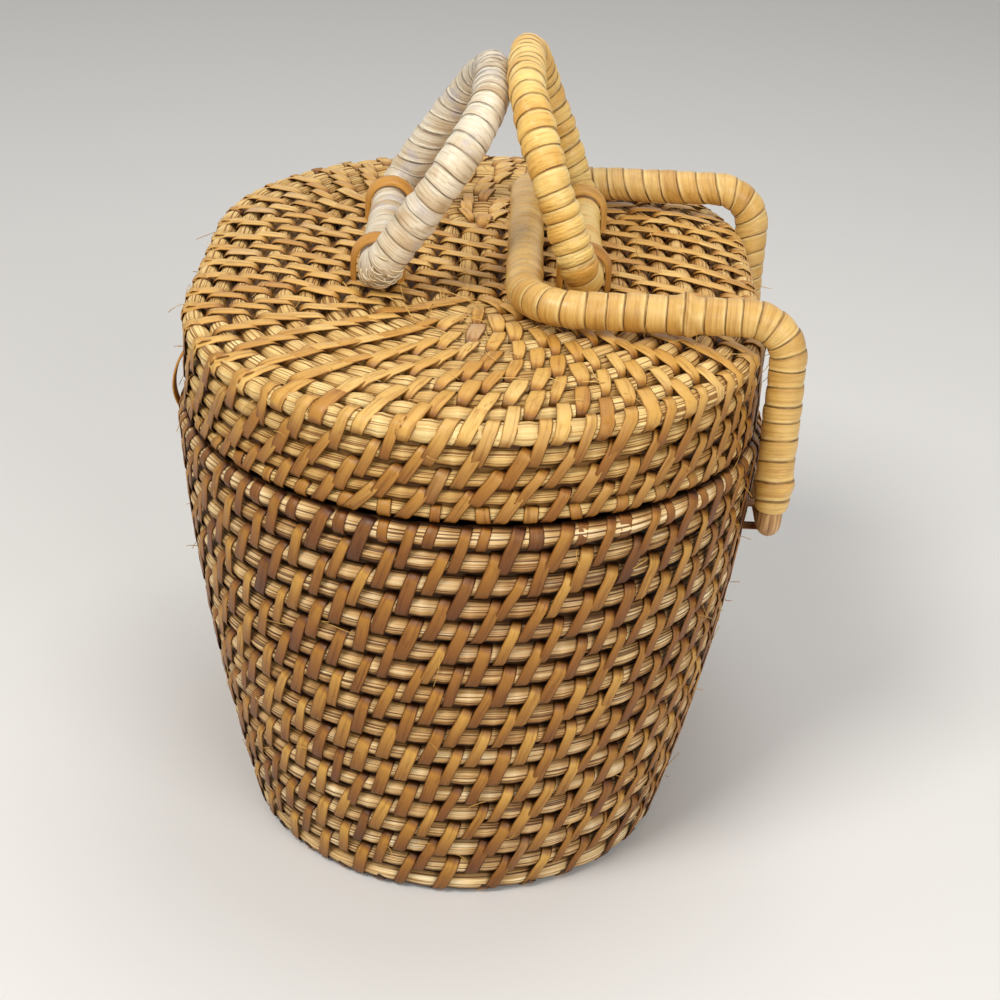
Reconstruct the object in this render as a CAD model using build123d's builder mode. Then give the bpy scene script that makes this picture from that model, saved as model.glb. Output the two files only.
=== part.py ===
from build123d import *
import os
from math import sin, cos, sqrt, radians, degrees, atan2, acos

os.makedirs("parts", exist_ok=True)

# sizes in mm; x runs across the basket, y along it, z up, origin under its middle

# basket and lid in plan: straight sides joined by round ends
coil = 6.72            # thickness of one coil of the lid
lid_coils = 13         # coils from the middle line of the lid to its edge
spine = 32.5           # half the length of the straight sides
edge = coil * (lid_coils - 0.5) + coil / 2   # half width over the rim

# the basket wall
rows = 18              # coils stacked in the wall
body_top = 138.7       # height of the wall
proud = 2.0            # the top coil of the wall stands out from the lid by this
taper = 21.9           # the foot is narrower than the top by this on each side
belly = 0.6            # how far the wall swells on its way down
wall = 6.6             # thickness of the wall
floor = 7.0            # thickness of the bottom
groove = 1.9           # depth of the grooves between coils
shoulder = 0.5         # how far the coil has fallen away at its shoulders

# the lid
seam = 0.3             # gap between basket and lid
lid_rows = (5.1, 4.8, 5.9, 6.6)   # heights of the coils of the lid wall from below
corner = 3.8           # radius of the thicker coil round the edge of the lid
rise = 2.8             # how far the middle of the lid stands above that coil
rounding = 4           # coils over which the lid rounds off towards its edge
lid_wall = 6.5         # thickness of the lid

# the two ring handles
gap = 0.3              # clearance round everything that moves
rod = 5.85             # radius of a wrapped ring
ring_width = 82.0      # between the middles of the two legs
ring_height = 58.0     # from the middle of the foot bar to the middle of the top
ring_foot = 10.0       # corner radius at the foot bar
ring_top = 28.0        # corner radius at the top
ring_y = 4.5           # the rings sit this far behind the middle
ring_x = 31.35         # foot bars to either side of the middle of the pair
ring_shift = 1.0       # the pair stands this far to the right on the lid
lean_left = 33.5       # degrees the left ring leans to the right

# the hasp, a U that lies over the lid and hangs down the right wall
hasp_rod = 5.7         # radius of the wrapped rod
hasp_half = 59.0       # arms in front of and behind the middle
hasp_bar = 14.3        # its cross bar from the middle line
hasp_play = 1.5        # room between the arms and the lid
leg_gap = 0.3          # room between the legs and the top coil of the wall
hasp_corner = 16.0     # corner radius at the cross bar
hasp_bend = 13.0       # bend over the edge of the lid
hasp_drop = 28.0       # the foot lies this far below the seam
wrap_end = 7.5         # the wrapping stops this far above the foot
foot_rod = 3.2         # radius of the bare rod
foot_corner = 5.0      # its corner radius

# cane strips
strip = 0.8            # thickness
strip_width = 5.0
ring_tie_in = 3.5      # a ring's ties lie this far in from the ends of its straight foot bar
hasp_tie_in = 10.0     # the hasp's ties lie this far in from its legs
hinge_tie = 35.0       # hinge strips in front of and behind the middle
hinge_reach = 11.0     # a hinge strip reaches this far above and below the seam

# levels worked out from the above
pitch = body_top / rows
lid_bottom = body_top + seam
corner_x = edge - coil / 2
corner_z = lid_bottom + sum(lid_rows) + corner - seam
rim_top = corner_z + corner
lid_top = rim_top + rise
bar_z = lid_top + gap + rod
arm_z = lid_top + hasp_play + hasp_rod
foot_z = body_top - hasp_drop
reach = hasp_half - spine
ring_tie = ring_width / 2 - ring_foot - ring_tie_in
hasp_tie = hasp_half - hasp_tie_in
leg_x = sqrt((edge + proud + leg_gap + hasp_rod) ** 2 - reach ** 2)


def crest(i):
    s = i / (rows - 1)
    return edge + proud - taper * (1 - s - belly * s * (1 - s))


# outer line of the basket wall from the foot up, three corners to a coil
outer = [(crest(0) - groove, 0)]
for i in range(rows):
    mid = (i + 0.5) * pitch
    outer.append((crest(i) - shoulder, mid - 0.28 * pitch))
    outer.append((crest(i), mid))
    outer.append((crest(i) - shoulder, mid + 0.28 * pitch))
    outer.append(((crest(i) + crest(min(i + 1, rows - 1))) / 2 - groove, (i + 1) * pitch))
inner = [(crest(rows - 1) - wall, body_top)]
for i in (13, 9, 5):
    inner.append((crest(i) - wall, (i + 0.5) * pitch))
inner.append((crest(1) - wall - 1, floor))
body_line = [(0, 0)] + outer + inner + [(0, floor)]

# outer line of the lid from its lower edge over the rim to the middle
lid_line = [(edge - groove, lid_bottom)]
z = lid_bottom
for h in lid_rows:
    lid_line.append((edge - shoulder, z + 0.22 * h))
    lid_line.append((edge, z + 0.5 * h))
    lid_line.append((edge - shoulder, z + 0.78 * h))
    z = z + h
    lid_line.append((edge - groove, z))
for a in (-25, 5, 35, 65, 95):
    lid_line.append((corner_x + corner * cos(radians(a)), corner_z + corner * sin(radians(a))))


def top_of(j):
    return rim_top + rise * (1 - (1 - min(j, rounding) / rounding) ** 2)


for j in range(1, lid_coils):
    mid = corner_x - j * coil
    lid_line.append((mid + coil / 2, (top_of(j - 1) + top_of(j)) / 2 - groove))
    lid_line.append((mid + 0.28 * coil, top_of(j) - shoulder))
    lid_line.append((mid, top_of(j)))
    lid_line.append((mid - 0.28 * coil, top_of(j) - shoulder))
lid_line.append((0, lid_top - groove))
lid_line.append((0, lid_top - coil))
lid_line.append((corner_x - 4 * coil, lid_top - coil))
lid_line.append((corner_x - 1.5 * coil, rim_top - lid_wall))
lid_line.append((edge - lid_wall, corner_z - corner - 0.5))
lid_line.append((edge - lid_wall, lid_bottom))


# the basket: one outline carried along the straight sides and round both ends
with BuildPart() as basket_body:
    with BuildSketch(Plane.XZ) as body_section:
        with BuildLine():
            Polyline(*body_line, close=True)
        make_face()
    extrude(amount=spine, both=True)
    mirror(about=Plane.YZ)
    with BuildSketch(Plane.XZ.offset(-spine)) as body_far:
        add(body_section.sketch.moved(Location((0, spine, 0))))
    revolve(axis=Axis((0, spine, 0), (0, 0, 1)), revolution_arc=180)
    with BuildSketch(Plane.XZ.offset(spine)) as body_near:
        add(body_section.sketch.moved(Location((0, -spine, 0))))
    revolve(axis=Axis((0, -spine, 0), (0, 0, -1)), revolution_arc=180)
basket_body.part.label = "basket_body"
export_step(basket_body.part, "parts/basket_body.step")

# the lid, made in the same way
with BuildPart() as lid:
    with BuildSketch(Plane.XZ) as lid_section:
        with BuildLine():
            Polyline(*lid_line, close=True)
        make_face()
    extrude(amount=spine, both=True)
    mirror(about=Plane.YZ)
    with BuildSketch(Plane.XZ.offset(-spine)) as lid_far:
        add(lid_section.sketch.moved(Location((0, spine, 0))))
    revolve(axis=Axis((0, spine, 0), (0, 0, 1)), revolution_arc=180)
    with BuildSketch(Plane.XZ.offset(spine)) as lid_near:
        add(lid_section.sketch.moved(Location((0, -spine, 0))))
    revolve(axis=Axis((0, -spine, 0), (0, 0, -1)), revolution_arc=180)
lid.part.label = "lid"
export_step(lid.part, "parts/lid.step")

# lean of the right ring, so that its top just clears the top of the left one
left_top = (-ring_x + ring_height * sin(radians(lean_left)), ring_height * cos(radians(lean_left)))
away = sqrt((ring_x - left_top[0]) ** 2 + left_top[1] ** 2)
apart = 2 * rod + gap
towards = degrees(atan2(ring_x - left_top[0], left_top[1]))
lean_right = towards - degrees(acos((away ** 2 + ring_height ** 2 - apart ** 2) / (2 * away * ring_height)))


def ring_plane(side, lean):
    return Plane(
        origin=(ring_shift + side * ring_x, ring_y, bar_z),
        x_dir=(0, 1, 0),
        z_dir=(cos(radians(lean)), 0, -sin(radians(lean))),
    )


half = ring_width / 2
foot_end = half - ring_foot
top_end = half - ring_top
shoulder_end = ring_height - ring_top

with BuildPart() as left_handle:
    with BuildLine(ring_plane(-1, lean_left)):
        Line((0, 0), (foot_end, 0))
        RadiusArc((foot_end, 0), (half, ring_foot), -ring_foot)
        Line((half, ring_foot), (half, shoulder_end))
        RadiusArc((half, shoulder_end), (top_end, ring_height), -ring_top)
        Line((top_end, ring_height), (-top_end, ring_height))
        RadiusArc((-top_end, ring_height), (-half, shoulder_end), -ring_top)
        Line((-half, shoulder_end), (-half, ring_foot))
        RadiusArc((-half, ring_foot), (-foot_end, 0), -ring_foot)
        Line((-foot_end, 0), (0, 0))
    with BuildSketch(Plane(origin=(ring_shift - ring_x, ring_y, bar_z), z_dir=(0, 1, 0))):
        Circle(rod)
    sweep()
left_handle.part.label = "left_handle"
export_step(left_handle.part, "parts/left_handle.step")

with BuildPart() as right_handle:
    with BuildLine(ring_plane(1, -lean_right)):
        Line((0, 0), (foot_end, 0))
        RadiusArc((foot_end, 0), (half, ring_foot), -ring_foot)
        Line((half, ring_foot), (half, shoulder_end))
        RadiusArc((half, shoulder_end), (top_end, ring_height), -ring_top)
        Line((top_end, ring_height), (-top_end, ring_height))
        RadiusArc((-top_end, ring_height), (-half, shoulder_end), -ring_top)
        Line((-half, shoulder_end), (-half, ring_foot))
        RadiusArc((-half, ring_foot), (-foot_end, 0), -ring_foot)
        Line((-foot_end, 0), (0, 0))
    with BuildSketch(Plane(origin=(ring_shift + ring_x, ring_y, bar_z), z_dir=(0, 1, 0))):
        Circle(rod)
    sweep()
right_handle.part.label = "right_handle"
export_step(right_handle.part, "parts/right_handle.step")

# cane ties that hold the foot bars of the rings down on the lid
for name, x, y in (
    ("left_handle_loop_near", ring_shift - ring_x, ring_y - ring_tie),
    ("left_handle_loop_far", ring_shift - ring_x, ring_y + ring_tie),
    ("right_handle_loop_near", ring_shift + ring_x, ring_y - ring_tie),
    ("right_handle_loop_far", ring_shift + ring_x, ring_y + ring_tie),
):
    with BuildPart() as ring_loop:
        with BuildSketch(Plane.XZ.offset(-y)):
            with Locations((x, bar_z)):
                Circle(rod + gap + strip)
            with Locations((x, bar_z - rod)):
                Rectangle(2 * (rod + gap + strip), 2 * rod)
            with Locations((x, bar_z)):
                Circle(rod + gap, mode=Mode.SUBTRACT)
            with Locations((x, bar_z - rod)):
                Rectangle(2 * (rod + gap), 2 * rod, mode=Mode.SUBTRACT)
        extrude(amount=strip_width / 2, both=True)
        add(lid.part, mode=Mode.SUBTRACT)
    ring_loop.part.label = name
    export_step(ring_loop.part, "parts/" + name + ".step")

# the hasp: legs up the wall, bends over the rim, arms and cross bar on the lid
wrap_z = foot_z + wrap_end
bend_x = leg_x - hasp_bend
bend_z = arm_z - hasp_bend
turn_x = hasp_bar + hasp_corner
turn_y = hasp_half - hasp_corner
with BuildPart() as hasp:
    with BuildLine():
        Line((leg_x, -hasp_half, wrap_z), (leg_x, -hasp_half, bend_z))
        TangentArc((leg_x, -hasp_half, bend_z), (bend_x, -hasp_half, arm_z), tangent=(0, 0, 1))
        Line((bend_x, -hasp_half, arm_z), (turn_x, -hasp_half, arm_z))
        TangentArc((turn_x, -hasp_half, arm_z), (hasp_bar, -turn_y, arm_z), tangent=(-1, 0, 0))
        Line((hasp_bar, -turn_y, arm_z), (hasp_bar, turn_y, arm_z))
        TangentArc((hasp_bar, turn_y, arm_z), (turn_x, hasp_half, arm_z), tangent=(0, 1, 0))
        Line((turn_x, hasp_half, arm_z), (bend_x, hasp_half, arm_z))
        TangentArc((bend_x, hasp_half, arm_z), (leg_x, hasp_half, bend_z), tangent=(1, 0, 0))
        Line((leg_x, hasp_half, bend_z), (leg_x, hasp_half, wrap_z))
    with BuildSketch(Plane(origin=(leg_x, -hasp_half, wrap_z), z_dir=(0, 0, 1))):
        Circle(hasp_rod)
    sweep()
hasp.part.label = "hasp"
export_step(hasp.part, "parts/hasp.step")

# the bare rod that closes the U at the wall
with BuildPart() as hasp_foot:
    with BuildLine():
        Line((leg_x, -hasp_half, wrap_z), (leg_x, -hasp_half, foot_z + foot_corner))
        TangentArc(
            (leg_x, -hasp_half, foot_z + foot_corner),
            (leg_x, -hasp_half + foot_corner, foot_z),
            tangent=(0, 0, -1),
        )
        Line((leg_x, -hasp_half + foot_corner, foot_z), (leg_x, hasp_half - foot_corner, foot_z))
        TangentArc(
            (leg_x, hasp_half - foot_corner, foot_z),
            (leg_x, hasp_half, foot_z + foot_corner),
            tangent=(0, 1, 0),
        )
        Line((leg_x, hasp_half, foot_z + foot_corner), (leg_x, hasp_half, wrap_z))
    with BuildSketch(Plane(origin=(leg_x, -hasp_half, wrap_z), z_dir=(0, 0, -1))):
        Circle(foot_rod)
    sweep()
hasp_foot.part.label = "hasp_foot"
export_step(hasp_foot.part, "parts/hasp_foot.step")

# cane ties round that rod, with both tails in the wall
tail_x = crest(int(foot_z / pitch)) - wall / 2
tail = leg_x - tail_x
for name, y in (("hasp_loop_near", -hasp_tie), ("hasp_loop_far", hasp_tie)):
    with BuildPart() as hasp_loop:
        with BuildSketch(Plane.XZ.offset(-y)):
            with Locations((leg_x, foot_z)):
                Circle(foot_rod + gap + strip)
            with Locations((leg_x - tail / 2, foot_z)):
                Rectangle(tail, 2 * (foot_rod + gap + strip))
            with Locations((leg_x, foot_z)):
                Circle(foot_rod + gap, mode=Mode.SUBTRACT)
            with Locations((leg_x - tail / 2, foot_z)):
                Rectangle(tail, 2 * (foot_rod + gap), mode=Mode.SUBTRACT)
        extrude(amount=strip_width / 2, both=True)
        add(basket_body.part, mode=Mode.SUBTRACT)
    hasp_loop.part.label = name
    export_step(hasp_loop.part, "parts/" + name + ".step")

# bowed cane strips across the seam on the left wall, fixed in the basket
strip_foot = crest(rows - 2) - groove - 0.5
strip_head = edge + gap
bow = edge + proud + 1.6
for name, y in (("lid_hinge_loop_near", -hinge_tie), ("lid_hinge_loop_far", hinge_tie)):
    with BuildPart() as hinge_loop:
        with BuildSketch(Plane.XZ.offset(-y)):
            with BuildLine():
                Line((-strip_head, body_top + hinge_reach), (-strip_head - strip, body_top + hinge_reach))
                ThreePointArc(
                    (-strip_head - strip, body_top + hinge_reach),
                    (-bow - strip, body_top),
                    (-strip_foot - strip, body_top - hinge_reach),
                )
                Line(
                    (-strip_foot - strip, body_top - hinge_reach),
                    (-strip_foot, body_top - hinge_reach),
                )
                ThreePointArc(
                    (-strip_foot, body_top - hinge_reach),
                    (-bow, body_top),
                    (-strip_head, body_top + hinge_reach),
                )
            make_face()
        extrude(amount=strip_width / 2, both=True)
        add(basket_body.part, mode=Mode.SUBTRACT)
    hinge_loop.part.label = name
    export_step(hinge_loop.part, "parts/" + name + ".step")

print("leg_x", leg_x, "arm_z", arm_z, "bar_z", bar_z, "foot_z", foot_z, "lean_right", lean_right)
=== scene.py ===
# Looks for a lidded wicker basket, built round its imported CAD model.
# Metres throughout: x across the basket, y along it, z up, origin under its middle.
from math import pi, sin, cos, radians

import bmesh
import bpy
import numpy as np
from mathutils import Matrix, Vector


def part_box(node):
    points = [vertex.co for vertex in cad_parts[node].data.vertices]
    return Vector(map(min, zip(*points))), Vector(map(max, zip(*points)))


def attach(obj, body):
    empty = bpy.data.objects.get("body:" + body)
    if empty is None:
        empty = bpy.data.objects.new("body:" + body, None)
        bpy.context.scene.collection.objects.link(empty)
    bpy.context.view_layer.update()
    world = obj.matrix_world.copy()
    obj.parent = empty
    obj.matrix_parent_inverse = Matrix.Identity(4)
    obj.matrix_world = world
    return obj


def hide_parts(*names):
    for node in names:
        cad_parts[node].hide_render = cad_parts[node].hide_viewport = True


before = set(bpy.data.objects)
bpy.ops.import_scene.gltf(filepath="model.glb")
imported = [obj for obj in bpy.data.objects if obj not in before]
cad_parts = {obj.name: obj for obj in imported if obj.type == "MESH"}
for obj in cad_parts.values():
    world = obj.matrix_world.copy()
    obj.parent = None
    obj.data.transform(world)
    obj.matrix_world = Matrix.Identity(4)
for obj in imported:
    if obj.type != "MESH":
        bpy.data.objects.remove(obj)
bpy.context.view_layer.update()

chance = np.random.default_rng(11)


# Camera, light and floor

view = {
    "place": (0.01012, -0.5954, 0.3892),
    "down": 26.95,        # degrees below level
    "roll": 2.74,         # degrees the frame leans
    "lens": 72.0,
    "sensor": 36.0,
}
camera = bpy.data.objects.new("camera", bpy.data.cameras.new("camera"))
camera.data.lens = view["lens"]
camera.data.sensor_width = view["sensor"]
camera.data.sensor_fit = "HORIZONTAL"
camera.data.clip_start = 0.01
camera.matrix_world = (
    Matrix.Translation(view["place"])
    @ Matrix.Rotation(radians(90 - view["down"]), 4, "X")
    @ Matrix.Rotation(radians(view["roll"]), 4, "Z")
)
bpy.context.scene.collection.objects.link(camera)
bpy.context.scene.camera = camera
bpy.context.scene.view_settings.view_transform = "Standard"

lamps = (
    # name, place, aim, size, watts, colour
    ("keyLight", (-0.55, -0.75, 1.25), (0.0, 0.0, 0.12), 0.5, 14.0, (1.0, 0.97, 0.92)),
    ("topLight", (0.15, 0.25, 1.3), (0.0, 0.0, 0.1), 0.7, 5.0, (1.0, 0.98, 0.95)),
    ("fillLight", (0.7, -1.15, 0.65), (0.0, 0.0, 0.08), 0.8, 9.5, (1.0, 0.98, 0.95)),
)
for name, place, aim, size, watts, colour in lamps:
    lamp = bpy.data.lights.new(name, "AREA")
    lamp.size = size
    lamp.energy = watts
    lamp.color = colour
    holder = bpy.data.objects.new(name, lamp)
    towards = np.array(aim) - np.array(place)
    holder.matrix_world = Matrix.Translation(place) @ (
        Vector(towards).to_track_quat("-Z", "Y").to_matrix().to_4x4()
    )
    bpy.context.scene.collection.objects.link(holder)
print("camera and lamps placed")



# Shader helpers

class Value:
    # a socket that carries numbers; arithmetic on it adds Math nodes
    def __init__(self, tree, socket):
        self.tree = tree
        self.socket = socket

    def joined(self, operation, first, second):
        node = self.tree.nodes.new("ShaderNodeMath")
        node.operation = operation
        for place, item in zip(node.inputs, (first, second)):
            if isinstance(item, Value):
                self.tree.links.new(item.socket, place)
            else:
                place.default_value = item
        return Value(self.tree, node.outputs[0])

    def __add__(self, other):
        return self.joined("ADD", self, other)

    def __radd__(self, other):
        return self.joined("ADD", other, self)

    def __sub__(self, other):
        return self.joined("SUBTRACT", self, other)

    def __rsub__(self, other):
        return self.joined("SUBTRACT", other, self)

    def __mul__(self, other):
        return self.joined("MULTIPLY", self, other)

    def __rmul__(self, other):
        return self.joined("MULTIPLY", other, self)

    def floor(self):
        return self.joined("FLOOR", self, 0.0)

    def part(self):
        return self.joined("FRACT", self, 0.0)


class Graph:
    # a node tree: add() makes any node from its type, its settings and its inputs
    def __init__(self, tree):
        self.tree = tree
        self.tree.nodes.clear()

    def add(self, kind, settings=None, inputs=None, output=0):
        node = self.tree.nodes.new(kind)
        for key, item in (settings or {}).items():
            if key == "stops":
                ramp = node.color_ramp
                while len(ramp.elements) < len(item):
                    ramp.elements.new(0.5)
                for element, (position, colour) in zip(ramp.elements, item):
                    element.position = position
                    element.color = (*colour, 1)
            else:
                setattr(node, key, item)
        for key, item in (inputs or {}).items():
            if isinstance(item, Value):
                self.tree.links.new(item.socket, node.inputs[key])
            else:
                node.inputs[key].default_value = item
        return Value(self.tree, node.outputs[output] if node.outputs else None)


class Finish(Graph):
    # one material: blend() mixes colours, done() feeds the shader
    def __init__(self, name):
        self.material = bpy.data.materials.new(name)
        self.material.use_nodes = True
        super().__init__(self.material.node_tree)

    def blend(self, factor, first, second, mode="MIX"):
        wide = [(*c, 1) if isinstance(c, tuple) else c for c in (first, second)]
        return self.add("ShaderNodeMix", {"data_type": "RGBA", "blend_type": mode, "clamp_result": True},
                        {0: factor, 6: wide[0], 7: wide[1]}, 2)

    def layMap(self):
        return self.add("ShaderNodeUVMap", {"uv_map": "lay"})

    def ownPlace(self):
        # the point in the piece's own x, y and z, in metres
        return self.add("ShaderNodeTexCoord", {}, {}, "Object")

    def axis(self, vector, number):
        return self.add("ShaderNodeSeparateXYZ", {}, {0: vector}, number)

    def attribute(self, name):
        return self.add("ShaderNodeAttribute", {"attribute_name": name}, {}, "Fac")

    def strands(self, across, along, detail=3.0, rough=0.6):
        # noise drawn out along one direction of the piece's map
        vector = self.add("ShaderNodeVectorMath", {"operation": "MULTIPLY"},
                          {0: self.layMap(), 1: (along, across, 1)})
        return self.add("ShaderNodeTexNoise", {},
                        {"Vector": vector, "Scale": 1.0, "Detail": detail, "Roughness": rough})

    def patches(self, scale, detail=3.0):
        return self.add("ShaderNodeTexNoise", {},
                        {"Vector": self.ownPlace(), "Scale": scale, "Detail": detail})

    def ramp(self, factor, stops):
        return self.add("ShaderNodeValToRGB", {"stops": stops}, {"Fac": factor})

    def mask(self, factor, low, high):
        # 0 at low, 1 at high, straight between; low may be the greater
        return self.add("ShaderNodeMapRange", {"clamp": True},
                        {"Value": factor, "From Min": low, "From Max": high, "To Min": 0.0, "To Max": 1.0})

    def darkened(self, colour):
        # the colour under the painted shade held in the piece's shade attribute: brown where it falls off,
        # nearly black at 0
        deep = self.ramp(self.attribute("shade"), (
            (0.0, (0.02, 0.010, 0.004)), (0.3, (0.13, 0.075, 0.035)),
            (0.65, (0.55, 0.42, 0.28)), (1.0, (1.0, 1.0, 1.0))))
        return self.blend(1.0, colour, deep, "MULTIPLY")

    def done(self, colour, roughness, height=None, depth=0.0005, strength=0.9, **fixed):
        # height, if given, becomes relief of that depth in metres; fixed are plain inputs of the shader
        inputs = {"Base Color": colour, "Roughness": roughness}
        if height is not None:
            inputs["Normal"] = self.add("ShaderNodeBump", {},
                                        {"Height": height, "Strength": strength, "Distance": depth})
        for key, item in fixed.items():
            inputs[key.replace("_", " ")] = item
        shader = self.add("ShaderNodeBsdfPrincipled", {}, inputs)
        self.add("ShaderNodeOutputMaterial", {}, {"Surface": shader})
        return self.material


def tint(red, green, blue):
    # an sRGB colour, 0 to 255, as the linear one that shaders use:
    # c / 12.92 where c is small, ((c + 0.055) / 1.055)^2.4 elsewhere
    c = np.array((red, green, blue)) / 255.0
    linear = np.where(c <= 0.04045, c / 12.92, ((c + 0.055) / 1.055) ** 2.4)
    return tuple(float(v) for v in linear)


# Floor and background

stageLook = {
    "half": 3.0,            # half the side of the floor
    "level": -0.0004,       # its height, just clear of the basket's foot
    "colour": tint(226, 225, 223), "roughness": 0.75,
    "light": 0.26,          # the background as a lamp
    "seen": 0.72,           # what it gains where it is seen, mirrored or seen through
}
far, level = stageLook["half"], stageLook["level"]
floorMesh = bpy.data.meshes.new("floor")
floorMesh.from_pydata([(-far, -far, level), (far, -far, level), (far, far, level), (-far, far, level)],
                      [], [(0, 1, 2, 3)])
floorMesh.materials.append(Finish("paleFloor").done((*stageLook["colour"], 1), stageLook["roughness"]))
floor = bpy.data.objects.new("floor", floorMesh)
bpy.context.scene.collection.objects.link(floor)

world = bpy.data.worlds.new("studio")
bpy.context.scene.world = world
world.use_nodes = True
sky = Graph(world.node_tree)
direct, mirrored, through = (
    sky.add("ShaderNodeLightPath", output=ray)
    for ray in ("Is Camera Ray", "Is Glossy Ray", "Is Transmission Ray")
)
bright = (direct + mirrored + through) * stageLook["seen"] + stageLook["light"]
background = sky.add("ShaderNodeBackground", {}, {"Color": (1, 1, 1, 1), "Strength": bright})
sky.add("ShaderNodeOutputWorld", {}, {"Surface": background})
print("floor and background made")


# Mesh helpers

def unit(vectors):
    # each vector over its length
    return vectors / np.linalg.norm(vectors, axis=-1, keepdims=True)


def distances(line):
    # how far along a line its points lie
    return np.concatenate([[0], np.cumsum(np.linalg.norm(np.diff(line, axis=0), axis=1))])


def newPile():
    # grids that will become one piece: points, faces, map corners, tones and painted shades
    return {"points": [], "faces": [], "lay": [], "tone": [], "shade": [], "count": 0}


def layOf(u, around):
    # the map of a grid: u by rows, alike for all grids or a line for each, and parts of a round by columns
    return np.stack(np.broadcast_arrays(np.atleast_2d(u)[:, :, None], np.linspace(0, 1, around + 1)), -1)


def cellCorners(grid):
    # the four corners of every cell, going round it
    return grid[:, :-1, :-1], grid[:, 1:, :-1], grid[:, 1:, 1:], grid[:, :-1, 1:]


def addGrid(pile, points, loopU, loopV, lay, tone, shade=1.0):
    # points is k grids of rows by columns; each cell becomes one face, closed round in u or v if asked;
    # lay is the map at the corners of the cells; tone picks the colour of each grid, and shade,
    # 0 to 1, is painted shade that darkens points lying deep in the weave
    k, rows, columns = points.shape[:3]
    index = np.arange(k * rows * columns).reshape(k, rows, columns) + pile["count"]
    if loopU:
        index = np.concatenate([index, index[:, :1]], 1)
    if loopV:
        index = np.concatenate([index, index[:, :, :1]], 2)
    lay = np.broadcast_to(lay, (k, *lay.shape[1:]))
    tone = np.asarray(tone, float).reshape(-1, 1, 1)
    pile["points"].append(points.reshape(-1, 3))
    pile["faces"].append(np.stack(cellCorners(index), -1).reshape(-1, 4))
    pile["lay"].append(np.stack(cellCorners(lay), -2).reshape(-1, 2))
    pile["tone"].append(np.broadcast_to(tone, (k, rows, columns)).reshape(-1))
    pile["shade"].append(np.broadcast_to(shade, (k, rows, columns)).reshape(-1))
    pile["count"] += k * rows * columns


def capped(points, line):
    # closes rods and strips: rows of points that lie together at both ends of the middle line
    sides = points.shape[-2]
    ends = [line[..., place, None, :].repeat(sides, -2) for place in (slice(0, 1), slice(-1, None))]
    return np.concatenate([ends[0], points, ends[1]], -3)


def makePiece(pile, name, material, body, node, weld=False):
    # the pile as one mesh; its faces are turned round where its volume, the sum over all triangles
    # of (b - a) x (c - a) . (a - middle), is negative; weld joins points that fall together
    points, faces, lay, tone, shade = (
        np.concatenate(pile[key]) for key in ("points", "faces", "lay", "tone", "shade")
    )
    a, b, c, d = (points[faces[:, i]] for i in range(4))
    middle = points.mean(0)
    volume = (np.cross(b - a, c - a) * (a - middle)).sum() + (np.cross(c - a, d - a) * (a - middle)).sum()
    if volume < 0:
        faces = faces[:, ::-1]
        lay = lay.reshape(-1, 4, 2)[:, ::-1].reshape(-1, 2)
    mesh = bpy.data.meshes.new(name)
    mesh.vertices.add(len(points))
    mesh.vertices.foreach_set("co", points.astype(np.float32).ravel())
    mesh.loops.add(faces.size)
    mesh.loops.foreach_set("vertex_index", faces.astype(np.int32).ravel())
    mesh.polygons.add(len(faces))
    mesh.polygons.foreach_set("loop_start", np.arange(0, faces.size, 4, dtype=np.int32))
    mesh.update(calc_edges=True)
    mesh.uv_layers.new(name="lay").data.foreach_set("uv", lay.astype(np.float32).ravel())
    mesh.attributes.new("tone", "FLOAT", "POINT").data.foreach_set("value", tone.astype(np.float32))
    mesh.attributes.new("shade", "FLOAT", "POINT").data.foreach_set("value", shade.astype(np.float32))
    mesh.polygons.foreach_set("use_smooth", np.ones(len(faces), dtype=bool))
    if weld:
        work = bmesh.new()
        work.from_mesh(mesh)
        bmesh.ops.remove_doubles(work, verts=work.verts, dist=1e-6)
        work.to_mesh(mesh)
        work.free()
    mesh.validate()
    mesh.materials.append(material)
    piece = bpy.data.objects.new(name, mesh)
    bpy.context.scene.collection.objects.link(piece)
    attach(piece, body)
    if node:
        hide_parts(*([node] if isinstance(node, str) else node))
    print(name, len(mesh.polygons), "faces")


# The oval plan: w runs from 0 to 4 round it, right side, far end, left side, near end

plan = {
    "spine": 0.0325,      # half the length of the straight sides
    "edge": 0.08736,      # half width over the lid's rim
    "coil": 0.00672,      # from one coil of the lid to the next
}


def ovalFrame(w):
    # the point on the spine and the outward direction that belong to w
    w = np.mod(w, 4.0)
    side = np.floor(w).astype(int)
    part = w - side
    sides = [side == 0, side == 1, side == 2]
    angle = np.select(sides, [0, pi * part, pi], pi + pi * part)
    y = plan["spine"] * np.select(sides, [2 * part - 1, 1, 1 - 2 * part], -1)
    return y, np.cos(angle), np.sin(angle)


def ovalLength(a):
    # the way round the oval of half width a: two half circles and two straight sides
    return 2 * pi * a + 4 * plan["spine"]


def ovalMarks(a):
    # the distances along that oval at which w is 0, 1, 2, 3 and 4
    straight = 2 * plan["spine"]
    return np.cumsum([0, straight, pi * a, straight, pi * a])


def ovalPart(s, a):
    # the w at a distance s along that oval
    marks = ovalMarks(a)
    return np.interp(np.mod(s, marks[-1]), marks, np.arange(5))


def onOval(w, a, z):
    # the point of the oval of half width a at height z
    y, nx, ny = ovalFrame(w)
    return np.stack(np.broadcast_arrays(nx * a, y + ny * a, z), -1)


# Where the coils lie, from the middle of the lid over its edge, and from the rim of the basket down

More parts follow.
